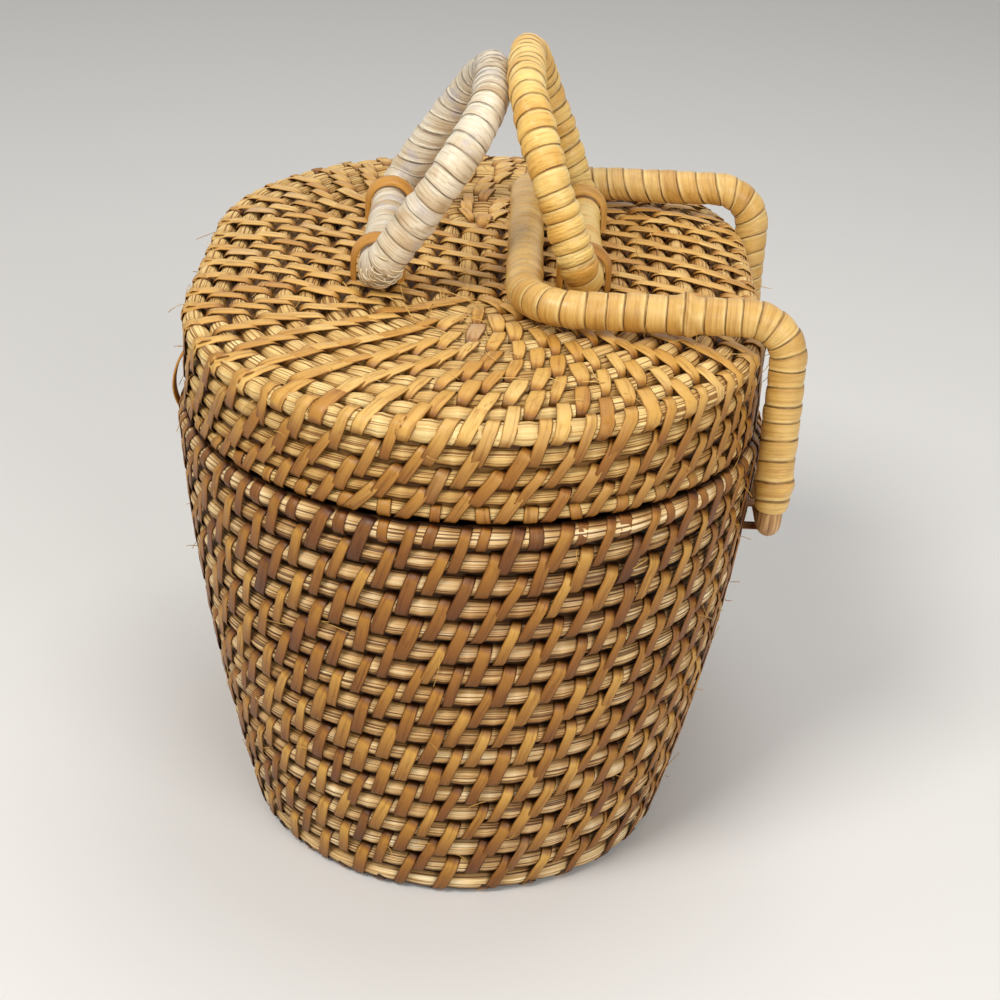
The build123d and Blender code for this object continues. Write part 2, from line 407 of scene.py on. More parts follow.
coilPlan = {
    "wallTop": 0.1387, "wallRows": 18, "proud": 0.0020, "taper": 0.0219, "belly": 0.6,
    "wallRod": 0.00352,     # radius of a rod of the wall
    "lidBottom": 0.1390,
    "lidRows": (0.0051, 0.0048, 0.0059, 0.0066),    # heights of the coils of the lid's wall
    "lidGap": 0.00022,      # how much thinner their rods are
    "cornerHalf": 0.0038, "cornerRod": 0.0037, "rise": 0.0028, "rounding": 4,
    "lidCoils": 13, "lidRod": 0.00322,
    "inset": 0.0003,        # the rods lie this deep under the solid's surface
}
inset = coilPlan["inset"]


def wallCrest(i):
    # half width over row i, counted from the bottom: with s from 0 to 1 up the wall it is
    # the rim's, less taper (1 - s - belly s (1 - s))
    s = i / (coilPlan["wallRows"] - 1)
    return plan["edge"] + coilPlan["proud"] - coilPlan["taper"] * (1 - s - coilPlan["belly"] * s * (1 - s))


wallPitch = coilPlan["wallTop"] / coilPlan["wallRows"]
wallRows = []       # from the rim down: half width and height of the rod's middle, and its radius
for i in reversed(range(coilPlan["wallRows"])):
    r = coilPlan["wallRod"]
    wallRows.append((wallCrest(i) - r - inset, (i + 0.5) * wallPitch, r))

lidWall = []        # from the lower edge up
height = coilPlan["lidBottom"]
for h in coilPlan["lidRows"]:
    r = h / 2 - coilPlan["lidGap"]
    lidWall.append((plan["edge"] - r - inset, height + h / 2, r))
    height += h
cornerZ = height + coilPlan["cornerHalf"] - inset
rimTop = cornerZ + coilPlan["cornerHalf"]
cornerA = plan["edge"] - plan["coil"] / 2


def lidCrest(j):
    # height over the coil j places in from the edge: rim + rise (1 - (1 - j / rounding)^2), level further in
    n = coilPlan["rounding"]
    return rimTop + coilPlan["rise"] * (1 - (1 - min(j, n) / n) ** 2)


lidRows = []        # from the middle out, over the edge and down
for j in reversed(range(1, coilPlan["lidCoils"])):
    r = coilPlan["lidRod"]
    lidRows.append((cornerA - j * plan["coil"], lidCrest(j) - r - inset, r))
lidRows.append((cornerA, cornerZ, coilPlan["cornerRod"]))
lidRows += lidWall[::-1]


# Stitches: a flat strip goes over two coils, with the next set half a stitch along on the next coil

sewing = {"fewest": 4, "loose": 0.0007}     # stitches round the smallest coil, and their scatter


def stitchSets(rows, spacing, startPhase):
    # for each pair of neighbouring coils: the half width and the distances along it of its stitches,
    # s = the middle of the near end + (number + phase) length / count
    sets = []
    for i in range(len(rows) - 1):
        a = (rows[i][0] + rows[i + 1][0]) / 2
        length = ovalLength(a)
        count = max(int(round(length / spacing)), sewing["fewest"])
        near = 4 * plan["spine"] + 1.5 * pi * a
        phase = 0.5 * ((i + startPhase) % 2)
        s = near + (np.arange(count) - count // 2 + phase) * length / count
        s = s + chance.normal(0, sewing["loose"], count)
        sets.append((a, s))
    return sets


def rowMarks(rows, sets, i):
    # all the stitches that cross coil i, as values of w
    marks = []
    for k in (i - 1, i):
        if 0 <= k < len(sets):
            a, s = sets[k]
            marks.append(ovalPart(s, a))
    return np.concatenate(marks)


def smooth(x, low, high):
    # 0 below low, 1 above high, t^2 (3 - 2 t) between
    t = np.clip((x - low) / (high - low), 0, 1)
    return t * t * (3 - 2 * t)


anyAngle = (0, 6.28)        # range of a random angle
middleWidth = 0.0001        # width of the line that closes the bottom and the top


def addCoils(pile, rows, sets, looks):
    # each rod is a circle carried round the oval, drawn in under every stitch:
    # radius = r (1 - pinch exp(-(distance to the nearest stitch / width)^2)) times
    # (1 + lumps sin(lobes phi + twist)), and its middle drifts in and out by a sum of long waves
    for i, ((a, z, r), look) in enumerate(zip(rows, looks)):
        length = ovalLength(a)
        steps = int(length / look["step"])
        s = np.arange(steps) * length / steps
        at = np.interp(rowMarks(rows, sets, i), np.arange(5), ovalMarks(a))
        away = np.abs(s[:, None] - at)
        away = np.minimum(away, length - away).min(1)
        pinch = look["pinch"] * np.exp(-(away / look["pinchWidth"]) ** 2)
        wave = sum(chance.normal(0, 1) * np.sin(2 * pi * n * s / length + chance.uniform(*anyAngle))
                   for n in look["waves"])
        phi = np.arange(look["around"]) * 2 * pi / look["around"] + pi
        lumps = 1 + look["lumps"] * np.sin(look["lobes"] * phi + chance.uniform(*anyAngle)
                                           + look["twist"] * 2 * pi * s[:, None] / length)
        ring = (r * (1 - pinch))[:, None] * lumps
        across = a + ring * np.cos(phi) + (look["drift"] * wave)[:, None]
        points = onOval(ovalPart(s, a)[:, None], across, z + ring * np.sin(phi))
        # painted shade: the side that faces out of the weave, square to the line from the rod before to the
        # rod after, is light, and the sides against those rods are dark, less so where the weave bends
        before, after = rows[max(i - 1, 0)], rows[min(i + 1, len(rows) - 1)]
        faceOut = np.arctan2(after[0] - before[0], before[1] - after[1])
        bend = np.hypot(after[0] - 2 * a + before[0], after[1] - 2 * z + before[1]) / (4 * r)
        opened = look["open"] * bend if 0 < i < len(rows) - 1 else 0
        # painted light from above: the lit side turns upward on the walls
        upward = look["upward"] * cos(faceOut)
        shade = look["deep"] + (1 - look["deep"]) * smooth(np.cos(phi - faceOut - upward),
                                                           look["hidden"] - opened, look["lit"] - opened)
        # painted shadow of each stitch on the rod beside it
        shade = shade * (1 - look["shadow"] * np.exp(-(away / look["shadowWidth"]) ** 2))[:, None]
        lay = layOf(np.append(s, length) + i * look["mapShift"], look["around"])
        addGrid(pile, points[None], True, True, lay, chance.uniform(0, 1), shade[None])


def addShadeSheet(pile, rows, half, shade, steps=96):
    # a closed sheet of painted shade inside the rods, seen dark through the gaps between them:
    # their middles, moved by half to both sides, carried round the oval
    line = np.array([row[:2] for row in rows])
    ahead = np.gradient(line, axis=0)
    out = unit(np.stack([-ahead[:, 1], ahead[:, 0]], -1))
    loop = np.concatenate([line + half * out, (line - half * out)[::-1]])
    loop[:, 0] = np.maximum(loop[:, 0], middleWidth / 2)
    w = np.arange(steps) * 4 / steps
    points = onOval(w[:, None], loop[:, 0], loop[:, 1])
    addGrid(pile, points[None], True, True, layOf(np.linspace(0, 0.5, steps + 1), len(loop)), 0.5, shade)


stripShape = {
    # the section of a stitch, across it in half widths and outward in thicknesses, and its painted shades
    "section": ((-1, 0.45), (-0.78, 0.95), (0.78, 0.95), (1, 0.45), (0, -0.6)),
    "shades": (0.8, 1.0, 1.0, 0.55, 0.25),
    "widths": (0.8, 1.15), "thicks": (0.8, 1.2),    # least and most of the set width and thickness
    "tipPower": 0.6, "tipStop": 0.03,               # how the ends narrow, and where that stops
    "smallest": 0.2,                                # least share of the lean on small ovals
    "mapSpread": 50,
}


def addStitches(pile, first, second, s, a, look, tones, single=False):
    # in section the strip runs round the first coil, dips a little and runs round the second, or round
    # the first alone; along the oval it leans forward by the set length from its outer to its inner end
    c1 = np.array(first[:2])
    c2 = np.array(second[:2])
    d = unit(c2 - c1)
    n = np.array((-d[1], d[0]))
    r1 = first[2] * (1 - look["sink"]) + look["lift"]
    r2 = second[2] * (1 - look["sink"]) + look["lift"]
    turn1, turn2 = np.radians(look["first"])[:, None], np.radians(look["second"])[:, None]
    arm1 = np.cos(turn1) * n - np.sin(turn1) * d
    arm2 = (np.cos(turn2) * n + np.sin(turn2) * d)[::-1]
    if single:
        line = np.concatenate([c1 + r1 * arm1, c1 + r1 * arm2])
        arm = np.concatenate([arm1, arm2])
    else:
        low = (c1 + c2) / 2 + n * ((r1 + r2) / 2 - look["dip"])
        line = np.concatenate([c1 + r1 * arm1, [low], c2 + r2 * arm2])
        arm = np.concatenate([arm1, [n], arm2])
    run = distances(line)
    t = run / run[-1]

    # the middle of every strip, and the directions outward and across it
    count = len(s)
    nx, ny = ovalFrame(ovalPart(s, a))[1:]
    small = np.clip(a / look["leanFull"], stripShape["smallest"], 1)
    lean = look["leanSide"] + ((look["leanEnd"] + look["leanSkew"] * nx) * small - look["leanSide"]) * ny ** 2
    lean = lean + chance.normal(0, look["leanLoose"] * small, count)
    bow = chance.normal(0, look["bow"], count)
    along = s[:, None] + lean[:, None] * (0.5 - t) + bow[:, None] * np.sin(pi * t)
    w = ovalPart(along, a)
    centre = onOval(w, line[:, 0], line[:, 1])
    nx, ny = ovalFrame(w)[1:]
    face = np.stack(np.broadcast_arrays(nx * arm[:, 0], ny * arm[:, 0], arm[:, 1]), -1)
    side = unit(np.cross(face, np.gradient(centre, axis=1)))

    width = look["width"] * chance.uniform(*stripShape["widths"], count)[:, None, None, None]
    tipped = np.clip(t, stripShape["tipStop"], 1 - stripShape["tipStop"])
    narrow = look["tip"] + (1 - look["tip"]) * np.sin(pi * tipped) ** stripShape["tipPower"]
    width = width * narrow[:, None, None]
    thick = look["thick"] * chance.uniform(*stripShape["thicks"], count)[:, None, None, None]
    section = np.array(stripShape["section"])
    points = (centre[:, :, None] + side[:, :, None] * section[:, :1] * width / 2
              + face[:, :, None] * section[:, 1:] * thick)

    # painted shade: the ends that dive between the rods, and the two edges, are darker
    # painted light from above: by fall the strip darkens toward its second coil
    ends = smooth(np.minimum(t, 1 - t), 0.0, look["diveOver"]) * (1 - look["fall"] * t)
    ends = np.concatenate([[0], look["deep"] + (1 - look["deep"]) * ends, [0]])
    shade = ends[:, None] * np.array(stripShape["shades"])
    u = np.concatenate([[0], run, [run[-1]]]) + chance.uniform(0, stripShape["mapSpread"], (count, 1))
    addGrid(pile, capped(points, centre), False, True, layOf(u, len(section)), tones, shade)


strandPlan = {"sides": 3, "across": (0.31, 0.53, 0.79), "mapLength": 0.01}     # across: along no strand


def addStrands(pile, line, radius, tones):
    # thin rods along the given lines, drawn to a point at both ends:
    # point = middle + radius (cos phi side + sin phi up)
    ahead = unit(np.gradient(line, axis=1))
    side = unit(np.cross(ahead, strandPlan["across"]))
    up = np.cross(side, ahead)
    sides = strandPlan["sides"]
    phi = np.arange(sides) * 2 * pi / sides
    ring = np.cos(phi)[:, None] * side[:, :, None] + np.sin(phi)[:, None] * up[:, :, None]
    points = capped(line[:, :, None] + radius * ring, line)
    lay = layOf(np.linspace(0, strandPlan["mapLength"], points.shape[1]), sides)
    addGrid(pile, points, False, True, lay, tones)


looseLook = {"stray": 0.5, "curl": 0.35, "radius": 0.00013, "tones": (0.6, 0.8), "points": 6}


def addLoose(pile, count, w, across, level, out, lengths):
    # loose fibres: start + length (t way + t^2 curl), the way mostly along the weave and a little out of it
    start = onOval(w, across, level)
    nx, ny = ovalFrame(w)[1:]
    away = np.stack([nx * out[0], ny * out[0], np.full(count, out[1])], -1)
    along = np.stack([-ny, nx, 0 * nx], -1) * chance.choice([-1.0, 1.0], (count, 1))
    way = unit(along + away + chance.normal(0, looseLook["stray"], (count, 3)))
    curl = chance.normal(0, looseLook["curl"], (count, 3))
    length = chance.uniform(*lengths, count)[:, None, None]
    t = np.linspace(0, 1, looseLook["points"])[:, None]
    line = start[:, None] + length * (t * way[:, None] + t ** 2 * curl[:, None])
    addStrands(pile, line, looseLook["radius"], chance.uniform(*looseLook["tones"], count))


# Finishes of the weave

lidShadow = (0.1630, 0.1585)    # the heights between which the lid's side takes painted shade, darker than its top
nearFade = (-0.075, -0.03)      # the y between which coils take painted shade toward the far part, the near end lit more


def coilFinish(name, look):
    # split rods: pale grain with brown lines along it, stained in patches
    f = Finish(name)
    broad = f.strands(3.0, 22.0, 2.0)
    fine = f.strands(30.0, 40.0, 3.0, 0.65)
    lines = f.strands(34.0, 11.0, 1.0, 0.5)
    mixed = fine * 0.6 + broad * 0.3 + f.attribute("tone") * 0.1
    grain = f.ramp(mixed, ((0.36, look["dark"]), (0.48, look["middle"]), (0.62, look["pale"])))
    colour = f.blend(f.mask(lines, 0.53, 0.6) * 0.85, grain, look["line"], "MULTIPLY")
    stain = f.mask(f.patches(14.0, 4.0), 0.5, 0.72)
    colour = f.blend(stain * 0.5, colour, look["worn"], "MULTIPLY")
    y, z = (f.axis(f.ownPlace(), number) for number in (1, 2))
    # painted shade: darker toward the far part, and on the lid's side below its top
    colour = f.blend(f.mask(y, *nearFade), colour, look["far"], "MULTIPLY")
    colour = f.blend(f.mask(z, *lidShadow), colour, look["below"], "MULTIPLY")
    return f.done(f.darkened(colour), 0.6 - fine * 0.12, fine * 0.5 - lines, Specular_IOR_Level=0.2)


def stripFinish(name, stops, gloss, below=(1.0, 1.0, 1.0)):
    # flat cane: one tone a strip, with fine lines along it and specks across
    f = Finish(name)
    base = f.ramp(f.attribute("tone") * 0.8 + f.patches(60.0, 2.0) * 0.2, stops)
    fine = f.strands(11.0, 60.0, 4.0, 0.65)
    specks = f.strands(5.0, 450.0)
    colour = f.blend(f.mask(fine, 0.5, 0.66) * 0.7, base, (0.5, 0.36, 0.22), "MULTIPLY")
    colour = f.blend(f.mask(specks, 0.56, 0.7) * 0.25, colour, (0.6, 0.47, 0.34), "MULTIPLY")
    # painted shade on the lid's side, below its top
    z = f.axis(f.ownPlace(), 2)
    colour = f.blend(f.mask(z, *lidShadow), colour, below, "MULTIPLY")
    height = fine * -0.8 + specks * 0.3
    return f.done(f.darkened(colour), gloss + fine * 0.25, height, 0.00014, Specular_IOR_Level=0.35)


# far and below are painted shade: the far part and the lid's side are darker
bodyCoilMaterial = coilFinish("wallCane", {
    "dark": tint(168, 126, 72), "middle": tint(236, 202, 144), "pale": tint(255, 240, 200),
    "worn": tint(196, 152, 108), "line": tint(98, 60, 28),
    "far": (1.0, 0.96, 0.92), "below": (1.0, 1.0, 1.0),
})
lidCoilMaterial = coilFinish("lidCane", {
    "dark": tint(196, 154, 88), "middle": tint(234, 198, 128), "pale": tint(252, 228, 166),
    "worn": tint(222, 188, 142), "line": tint(136, 96, 50),
    "far": (0.92, 0.8832, 0.8464), "below": (0.92, 0.88, 0.82),
})
bodyStripMaterial = stripFinish("wallStrip", (
    (0.12, tint(122, 78, 32)), (0.32, tint(154, 102, 40)), (0.5, tint(182, 130, 50)),
    (0.68, tint(216, 170, 84)), (0.86, tint(172, 128, 74))), 0.34)
# the lid strips' last colour is painted shade for the lid's side, below its top
lidStripMaterial = stripFinish("lidStrip", (
    (0.12, tint(176, 122, 52)), (0.32, tint(206, 154, 72)), (0.5, tint(222, 176, 94)),
    (0.68, tint(234, 194, 116)), (0.86, tint(200, 162, 116))), 0.32, (0.72, 0.62, 0.46))

coilLook = {
    "step": 0.0022, "around": 14,                       # metres along a rod and points round it
    "pinch": 0.1, "pinchWidth": 0.0028,                 # how stitches draw a rod in
    "lumps": 0.02, "lobes": 3, "twist": 9,
    "drift": 0.00008, "waves": (3, 5, 8, 13, 21),       # how far the middle strays, and waves a round
    "deep": 0.06, "hidden": 0.42, "lit": 0.97,          # darkest painted shade, and the cosines it lightens between
    # painted shade opened where the weave bends, painted light turned upward, painted shadow beside stitches
    "open": 0.9, "upward": 0.4, "shadow": 0.3, "shadowWidth": 0.0029,
    "mapShift": 0.37,
}
baseLook = dict(coilLook, step=0.0035, around=10)
lidSideLook = dict(coilLook, pinch=0.14, deep=0.12, hidden=0.25, lit=0.9)
lidCoilLook = dict(coilLook, pinch=0.2, shadow=0.25, deep=0.42, hidden=-0.3, lit=0.5, upward=0.3)
wallLook = {
    "first": (80, 55, 30, 6), "second": (80, 55, 30, 6),    # degrees round each coil, from its far side
    "leanFull": 0.05, "leanSide": 0.0052, "leanEnd": 0.0058, "leanSkew": 0.0, "leanLoose": 0.0009,
    "bow": 0.0003, "lift": 0.0003, "sink": 0.1, "dip": 0.0001,
    "width": 0.0038, "thick": 0.00045, "tip": 0.88,
    # painted shade of the strips: the darkest, how far the dark ends reach, and the fall toward the second
    # coil
    "deep": 0.05, "diveOver": 0.17, "fall": 0.6,
}
lidWallLook = dict(wallLook, leanSide=0.0066, leanEnd=0.0080, leanLoose=0.0014, fall=0.5)
lidTopLook = dict(
    wallLook, leanSide=0.0060, leanEnd=0.0058, leanSkew=0.0035, leanLoose=0.0013, tip=0.35, width=0.0048,
    lift=0.0002, dip=-0.0001, diveOver=0.25, fall=0.12, deep=0.32)
overCorner = (150, 115, 76, 36)     # degrees round the thick coil of the lid's edge
singleLean = 0.001


def addSingles(pile, first, second, stitchSet, look, tones):
    # stitches over one coil alone, halfway between those of a set, to close an edge
    a, s = stitchSet
    s = s + 0.5 * ovalLength(a) / len(s)
    look = dict(look, leanSide=singleLean, leanEnd=singleLean)
    addStitches(pile, first, second, s, a, look, chance.uniform(*tones, len(s)), True)


# The basket

basketPlan = {
    "spacing": 0.0134,      # from stitch to stitch along a coil
    "baseStep": 0.0072, "baseZ": 0.0044, "baseRod": 0.0033, "baseCoils": 8,
    # the dark sheet of painted shade inside the rods: half its thickness, and its shade
    "shadeSheetHalf": 0.0007, "shadeSheetShade": 0.1,
    "tone": 0.43, "toneFall": 0.007, "toneSpread": 0.15,
    "rimRows": 2, "rimTone": 0.03,      # the rows at the rim are that much darker
    "rimTones": (0.1, 0.5), "baseTones": (0.1, 0.9),
    "fibres": 150, "fibreOut": 0.0004, "fibreSpread": 0.002, "fibreLengths": (0.003, 0.010),
    "fibreWay": (0.3, 0.0),             # outward and up
}
p = basketPlan
wallSets = stitchSets(wallRows, p["spacing"], 0)
coils = newPile()
addCoils(coils, wallRows, wallSets, [coilLook] * len(wallRows))
baseRows = [(wallRows[-1][0] - p["baseStep"] * k, p["baseZ"], p["baseRod"])
            for k in range(1, p["baseCoils"] + 1)]
baseSets = stitchSets([wallRows[-1]] + baseRows, p["spacing"], len(wallRows) - 1)
addCoils(coils, baseRows, baseSets[1:], [baseLook] * len(baseRows))
bottomLine = (middleWidth, p["baseZ"], p["baseRod"])
addShadeSheet(coils, wallRows + baseRows + [bottomLine], p["shadeSheetHalf"], p["shadeSheetShade"])
makePiece(coils, "basketCoils", bodyCoilMaterial, "basket", "basket_body")

strips = newPile()
for i, (a, s) in enumerate(wallSets):
    tone = p["tone"] + p["toneFall"] * i - p["rimTone"] * (i < p["rimRows"])
    tones = np.clip(chance.normal(tone, p["toneSpread"], len(s)), 0, 1)
    addStitches(strips, wallRows[i], wallRows[i + 1], s, a, wallLook, tones)
addSingles(strips, wallRows[0], wallRows[1], wallSets[0], wallLook, p["rimTones"])
baseRows = [wallRows[-1]] + baseRows
for i, (a, s) in enumerate(baseSets):
    tones = chance.uniform(*p["baseTones"], len(s))
    addStitches(strips, baseRows[i], baseRows[i + 1], s, a, wallLook, tones)
count = p["fibres"]
rowA, rowZ, rowR = np.array(wallRows)[chance.integers(0, len(wallRows) - 2, count)].T
addLoose(strips, count, chance.uniform(0, 4, count), rowA + rowR + p["fibreOut"],
         rowZ + chance.normal(0, p["fibreSpread"], count), p["fibreWay"], p["fibreLengths"])
makePiece(strips, "basketStitches", bodyStripMaterial, "basket", None, weld=True)


# The lid

lidPlan = {
    "spacing": 0.0128, "middleRod": 0.0033,
    "shadeSheet": (0.0007, 0.4),                  # half the thickness of the sheet of painted shade inside, and its shade
    "tone": 0.5, "toneSpread": 0.16, "edgeTones": (0.1, 0.8),
    "middle": (0.006, 0.058, 5),            # first and last stitch over the middle line, and their number
    "under": (0.005, 0.002),                # depth and radius of the place below the lowest coil
    "cornerTip": 0.7, "topSink": 0.14, "wallSink": 0.13,
    "fibres": 110, "fibreOut": 0.0005, "fibreWay": (0.0, 0.35), "fibreLengths": (0.003, 0.008),
    "nearShare": 0.6,                       # of those fibres lie on the near end
    "sideFibres": 40, "sideOut": 0.0003, "sideWay": (0.5, 0.0), "sideLengths": (0.004, 0.013),
}
p = lidPlan
lidSets = stitchSets(lidRows, p["spacing"], 1)
coils = newPile()
addCoils(coils, lidRows, lidSets, [lidCoilLook] * coilPlan["lidCoils"] + [lidSideLook] * len(lidWall))
addShadeSheet(coils, [(middleWidth, lidRows[0][1], p["middleRod"])] + lidRows, *p["shadeSheet"])
makePiece(coils, "lidCoils", lidCoilMaterial, "lid", "lid")

strips = newPile()
corner = coilPlan["lidCoils"] - 1
setLooks = [lidTopLook] * corner + [lidWallLook] * (len(lidSets) - corner)
setLooks[corner - 1] = dict(lidTopLook, second=overCorner, tip=p["cornerTip"], sink=p["topSink"])
setLooks[corner] = dict(lidWallLook, first=overCorner, sink=p["wallSink"])
for i, (a, s) in enumerate(lidSets):
    tones = np.clip(chance.normal(p["tone"], p["toneSpread"], len(s)), 0, 1)
    addStitches(strips, lidRows[i], lidRows[i + 1], s, a, setLooks[i], tones)
a, z, r = lidRows[0]
s = np.linspace(*p["middle"])
addStitches(strips, (-a, z, r), lidRows[0], s, 0.0, lidTopLook, np.full(len(s), p["tone"]))
a, z, r = lidRows[-1]
under = (a, z - p["under"][0], p["under"][1])
addSingles(strips, lidRows[-1], under, lidSets[-1], lidWallLook, p["edgeTones"])
count = p["fibres"]
rowA, rowZ, rowR = np.array(lidRows)[chance.integers(0, len(lidRows) - 4, count)].T
nearEnd = 3 + chance.beta(2, 2, count)
w = np.where(chance.uniform(0, 1, count) < p["nearShare"], nearEnd, chance.uniform(0, 4, count))
addLoose(strips, count, w, rowA, rowZ + rowR + p["fibreOut"], p["fibreWay"], p["fibreLengths"])
count = p["sideFibres"]
addLoose(strips, count, chance.uniform(0, 4, count), np.full(count, plan["edge"] + p["sideOut"]),
         chance.uniform(coilPlan["lidBottom"], cornerZ, count), p["sideWay"], p["sideLengths"])
makePiece(strips, "lidStitches", lidStripMaterial, "lid", None, weld=True)


# Wrapped rods: a circle carried along a path, swollen between the edges of every turn of cane

gap = 0.0003        # from point to point along a path


def straight(p, q):
    # points from p to just before q
    n = max(int(np.linalg.norm(np.subtract(q, p)) / gap), 2)
    return np.linspace(p, q, n, endpoint=False)


def quarter(centre, fromArm, toArm):
    # a quarter circle: centre + cos t fromArm + sin t toArm
    n = max(int(pi / 2 * np.linalg.norm(fromArm) / gap), 4)
    t = (np.arange(n) / n * pi / 2)[:, None]
    return np.array(centre) + np.cos(t) * np.array(fromArm) + np.sin(t) * np.array(toArm)


rodPlan = {
    "turnWidths": (0.75, 1.25), "swells": (0.55, 1.0),      # least and most of the set width and swell
    "short": 410, "long": 173,          # radians a metre of the two waves of the wobble
    "lobes": 5, "spin": 900,            # the pattern on a lump: round it, and radians a metre along it
    "taperLength": 0.0022,
}


def wrapRod(pile, line, up, look, closed):
    # line: points of the middle; up: a direction across it. With part from 0 to 1 over a turn of cane,
    # radius = r - groove + groove sin(pi part)^round + swell sin(pi part) + wobble + step (part - 1/2)
    if closed:
        ahead = np.roll(line, -1, axis=0) - np.roll(line, 1, axis=0)
        hop = np.linalg.norm(np.roll(line, -1, axis=0) - line, axis=1)
    else:
        ahead = np.gradient(line, axis=0)
        hop = np.linalg.norm(np.diff(line, axis=0), axis=1)
        hop = np.append(hop, hop[-1])
    ahead = unit(ahead)
    side = unit(np.cross(ahead, up))
    up = np.cross(side, ahead)
    s = np.concatenate([[0], np.cumsum(hop)[:-1]])
    total = hop.sum()
    turns = max(int(round(total / look["turn"])), 1)
    widths = chance.uniform(*rodPlan["turnWidths"], turns)
    edges = np.concatenate([[0], np.cumsum(widths)]) / widths.sum() * total
    phi = np.arange(look["around"]) * 2 * pi / look["around"]
    turn = np.interp(s, edges, np.arange(turns + 1))
    phase = turn[:, None] + look["slant"] * np.sin(phi + look["slantFrom"]) + phi / (2 * pi)
    swells = chance.uniform(*rodPlan["swells"], turns)
    swell = swells[np.mod(np.floor(phase).astype(int), turns)]
    part = phase - np.floor(phase)
    rounding = np.sin(pi * part) ** look["round"]
    shape = look["radius"] - look["groove"] + look["groove"] * rounding * swell \
        + look["swell"] * swell * np.sin(pi * part)
    wobble = look["wobble"] * (np.sin(s[:, None] * rodPlan["short"] + 1.7) * np.cos(phi + 0.6)
                               + np.sin(s[:, None] * rodPlan["long"]) * np.cos(2 * phi))
    shape = shape + wobble + look["step"] * (part - 0.5)
    for at, high, wide in look["lumps"]:
        bump = high * np.exp(-((s - at) / wide) ** 2)
        pattern = np.sin(rodPlan["lobes"] * phi + rodPlan["spin"] * s[:, None])
        shape = shape + bump[:, None] * (1 + 0.5 * pattern)
    nearEnds = np.exp(-s / rodPlan["taperLength"]) + np.exp(-(total - s) / rodPlan["taperLength"])
    shape = shape * (1 - look["taper"] * nearEnds)[:, None]
    points = line[:, None] + shape[..., None] * (np.cos(phi)[:, None] * side[:, None]
                                                 + np.sin(phi)[:, None] * up[:, None])
    if closed:
        turn = np.append(turn, turns)
    else:
        points = capped(points, line)
        turn = np.concatenate([turn[:1], turn, turn[-1:]])
    # the map: turns counted along the rod, and parts of a round
    v = np.linspace(0, 1, look["around"] + 1)
    count = turn[:, None] + look["slant"] * np.sin(2 * pi * v + look["slantFrom"]) + v
    lay = np.stack([count, np.broadcast_to(v, count.shape)], -1)
    addGrid(pile, points[None], closed, True, lay[None], 0.0)


rings = {
    "footX": 0.03135, "shift": 0.0010, "middleY": 0.0045, "footZ": 0.17765,
    "width": 0.0820, "height": 0.0580, "footCorner": 0.0100, "topCorner": 0.0280,
    "leanLeft": 33.5, "leanRight": 20.466,
}

tiePlan = {"reach": 0.0275, "inner": 0.00615, "width": 0.0056, "thick": 0.0008, "lidZ": 0.1706, "flare": 0.35}


def ringFrame(side):
    # the middle of a ring's foot, the way up the ring, and the way through it
    lean = radians(rings["leanLeft"] if side < 0 else rings["leanRight"])
    middle = np.array((rings["shift"] + side * rings["footX"], rings["middleY"], rings["footZ"]))
    return middle, np.array((-side * sin(lean), 0, cos(lean))), np.array((cos(lean), 0, side * sin(lean)))


def ringLine(side):
    # a closed outline of four straight runs and four quarter turns, in a plane that leans from upright
    h, w = rings["height"], rings["width"] / 2
    lo, hi = rings["footCorner"], rings["topCorner"]
    flat = np.concatenate([
        straight((0, 0), (w - lo, 0)), quarter((w - lo, lo), (0, -lo), (lo, 0)),
        straight((w, lo), (w, h - hi)), quarter((w - hi, h - hi), (hi, 0), (0, hi)),
        straight((w - hi, h), (-w + hi, h)), quarter((-w + hi, h - hi), (0, hi), (-hi, 0)),
        straight((-w, h - hi), (-w, lo)), quarter((-w + lo, lo), (-lo, 0), (0, -lo)),
        straight((-w + lo, 0), (0, 0)),
    ])
    # the loop starts under the far tie, which hides the place where its colours meet
    flat = np.roll(flat, -int(np.argmin(np.hypot(flat[:, 0] - tiePlan["reach"], flat[:, 1]))), axis=0)
    middle, rise, across = ringFrame(side)
    return middle + flat[:, :1] * np.array((0, 1, 0)) + flat[:, 1:] * rise, across


